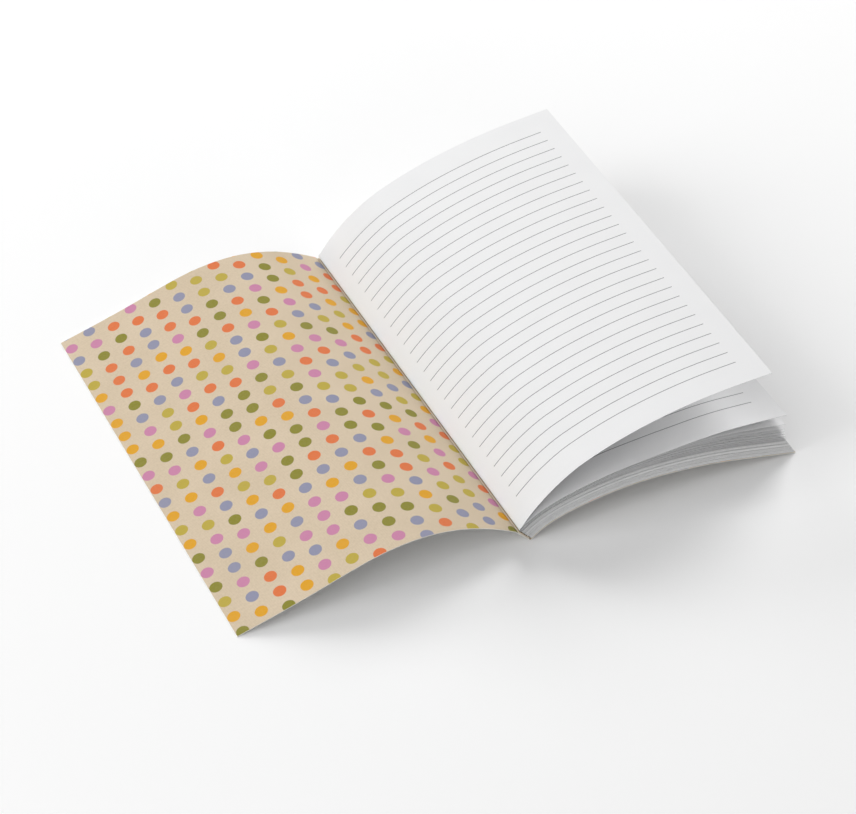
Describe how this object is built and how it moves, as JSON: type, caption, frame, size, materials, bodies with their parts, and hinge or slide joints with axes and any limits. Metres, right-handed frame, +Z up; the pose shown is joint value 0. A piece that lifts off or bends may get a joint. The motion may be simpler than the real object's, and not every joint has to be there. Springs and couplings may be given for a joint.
{
  "type": "layflat notebook",
  "caption": "Sewn softcover layflat notebook lying open: dotted card cover turned over to the left, ruled block arching to the right, its first leaves lifting.",
  "frame": {"origin": "on the table, at the middle of the open notebook's footprint", "axes": "+X from the spine to the block's fore edge, +Y to the head of the page, +Z up"},
  "size_m": [0.2646, 0.2096, 0.0537],
  "materials": {
    "printed_card": "uncoated card, beige with small coloured dots printed inside",
    "page_paper": "smooth uncoated white paper with fine grey rules",
    "spine_glue": "flexible cold glue film",
    "crash_cloth": "open-weave lining cloth",
    "sewing_thread": "waxed white thread"
  },
  "bodies": {
    "block": {"section_2": "page_paper", "section_3": "page_paper", "section_4": "page_paper", "section_5": "page_paper", "sheet_1": "page_paper", "sheet_2": "page_paper", "sheet_3": "page_paper", "sheet_4": "page_paper", "sheet_5": "page_paper", "sheet_6": "page_paper", "sheet_7": "page_paper", "sheet_8": "page_paper", "cover_spine": "printed_card", "spine_lining": "crash_cloth", "spine_adhesive": "spine_glue", "centre_thread": "sewing_thread", "link_stitch_1": "sewing_thread", "link_stitch_2": "sewing_thread", "link_stitch_3": "sewing_thread", "link_stitch_4": "sewing_thread", "link_stitch_5": "sewing_thread", "link_stitch_6": "sewing_thread"},
    "front_cover_1": {"front_cover_1": "printed_card"},
    "front_cover_2": {"front_cover_2": "printed_card"},
    "front_cover_3": {"front_cover_3": "printed_card"},
    "front_cover_4": {"front_cover_4": "printed_card"},
    "back_cover": {"back_cover": "printed_card"},
    "leaf_1_gutter": {"leaf_1_gutter": "page_paper"},
    "leaf_1_a": {"leaf_1_a": "page_paper"},
    "leaf_1_b": {"leaf_1_b": "page_paper"},
    "leaf_1_c": {"leaf_1_c": "page_paper"},
    "leaf_1_d": {"leaf_1_d": "page_paper"},
    "leaf_2_inner": {"leaf_2_inner": "page_paper"},
    "leaf_2_middle": {"leaf_2_middle": "page_paper"},
    "leaf_2_outer": {"leaf_2_outer": "page_paper"},
    "leaf_3_middle": {"leaf_3_middle": "page_paper"},
    "leaf_3_outer": {"leaf_3_outer": "page_paper"},
    "leaf_4_outer": {"leaf_4_outer": "page_paper"}
  },
  "joints": [
    {"name": "front_cover_hinge", "type": "hinge", "parent": "block", "child": "front_cover_1", "pos_m": [-0.00492, 0, 0.00737], "axis": [0, -1, 0], "range_deg": [-103.5, 0]},
    {"name": "front_cover_flex_1", "type": "hinge", "parent": "front_cover_1", "child": "front_cover_2", "pos_m": [-0.02517, 0, 0.01746], "axis": [0, -1, 0], "range_deg": [-57.01, 0]},
    {"name": "front_cover_flex_2", "type": "hinge", "parent": "front_cover_2", "child": "front_cover_3", "pos_m": [-0.05267, 0, 0.0217], "axis": [0, -1, 0], "range_deg": [-30.51, 0]},
    {"name": "front_cover_flex_3", "type": "hinge", "parent": "front_cover_3", "child": "front_cover_4", "pos_m": [-0.08386, 0, 0.01506], "axis": [0, -1, 0], "range_deg": [-14.51, 0]},
    {"name": "back_cover_hinge", "type": "hinge", "parent": "block", "child": "back_cover", "pos_m": [0.0021, 0, -0.00004], "axis": [0, 1, 0], "range_deg": [0, 170]},
    {"name": "leaf_1_press", "type": "hinge", "parent": "block", "child": "leaf_1_gutter", "pos_m": [-0.00207, 0, 0.00923], "axis": [0, -1, 0], "range_deg": [-16.41, 0]},
    {"name": "leaf_1_turn", "type": "hinge", "parent": "leaf_1_gutter", "child": "leaf_1_a", "pos_m": [0.00023, 0, 0.01265], "axis": [0, -1, 0], "range_deg": [0, 121]},
    {"name": "leaf_1_flex_1", "type": "hinge", "parent": "leaf_1_a", "child": "leaf_1_b", "pos_m": [0.02533, 0, 0.03418], "axis": [0, -1, 0], "range_deg": [0, 37.51]},
    {"name": "leaf_1_flex_2", "type": "hinge", "parent": "leaf_1_b", "child": "leaf_1_c", "pos_m": [0.05241, 0, 0.04434], "axis": [0, -1, 0], "range_deg": [0, 23.51]},
    {"name": "leaf_1_flex_3", "type": "hinge", "parent": "leaf_1_c", "child": "leaf_1_d", "pos_m": [0.08348, 0, 0.05074], "axis": [0, -1, 0], "range_deg": [0, 10.01]},
    {"name": "leaf_2_lift", "type": "hinge", "parent": "block", "child": "leaf_2_inner", "pos_m": [0.00129, 0, 0.01159], "axis": [0, -1, 0], "range_deg": [0, 9]},
    {"name": "leaf_2_press_1", "type": "hinge", "parent": "leaf_2_inner", "child": "leaf_2_middle", "pos_m": [0.05611, 0, 0.02461], "axis": [0, -1, 0], "range_deg": [-4.21, 0]},
    {"name": "leaf_2_press_2", "type": "hinge", "parent": "leaf_2_middle", "child": "leaf_2_outer", "pos_m": [0.07515, 0, 0.02577], "axis": [0, -1, 0], "range_deg": [-4.21, 0]},
    {"name": "leaf_3_press", "type": "hinge", "parent": "block", "child": "leaf_3_middle", "pos_m": [0.05826, 0, 0.02452], "axis": [0, -1, 0], "range_deg": [-3.21, 0]},
    {"name": "leaf_3_lift", "type": "hinge", "parent": "leaf_3_middle", "child": "leaf_3_outer", "pos_m": [0.07727, 0, 0.02513], "axis": [0, -1, 0], "range_deg": [0, 4]},
    {"name": "leaf_4_press", "type": "hinge", "parent": "block", "child": "leaf_4_outer", "pos_m": [0.06253, 0, 0.02441], "axis": [0, -1, 0], "range_deg": [-1.21, 0]}
  ],
  "couplings": [
    {"joint": "front_cover_flex_1", "follows": "front_cover_hinge", "ratio": 0.55073},
    {"joint": "front_cover_flex_2", "follows": "front_cover_hinge", "ratio": 0.29469},
    {"joint": "front_cover_flex_3", "follows": "front_cover_hinge", "ratio": 0.1401},
    {"joint": "leaf_1_press", "follows": "front_cover_hinge", "ratio": 0.15845},
    {"joint": "leaf_1_flex_1", "follows": "leaf_1_turn", "ratio": 0.30992},
    {"joint": "leaf_1_flex_2", "follows": "leaf_1_turn", "ratio": 0.19421},
    {"joint": "leaf_1_flex_3", "follows": "leaf_1_turn", "ratio": 0.082645},
    {"joint": "leaf_2_press_1", "follows": "front_cover_hinge", "ratio": 0.04058},
    {"joint": "leaf_2_press_2", "follows": "front_cover_hinge", "ratio": 0.04058},
    {"joint": "leaf_3_press", "follows": "front_cover_hinge", "ratio": 0.030918},
    {"joint": "leaf_4_press", "follows": "front_cover_hinge", "ratio": 0.011594}
  ]
}
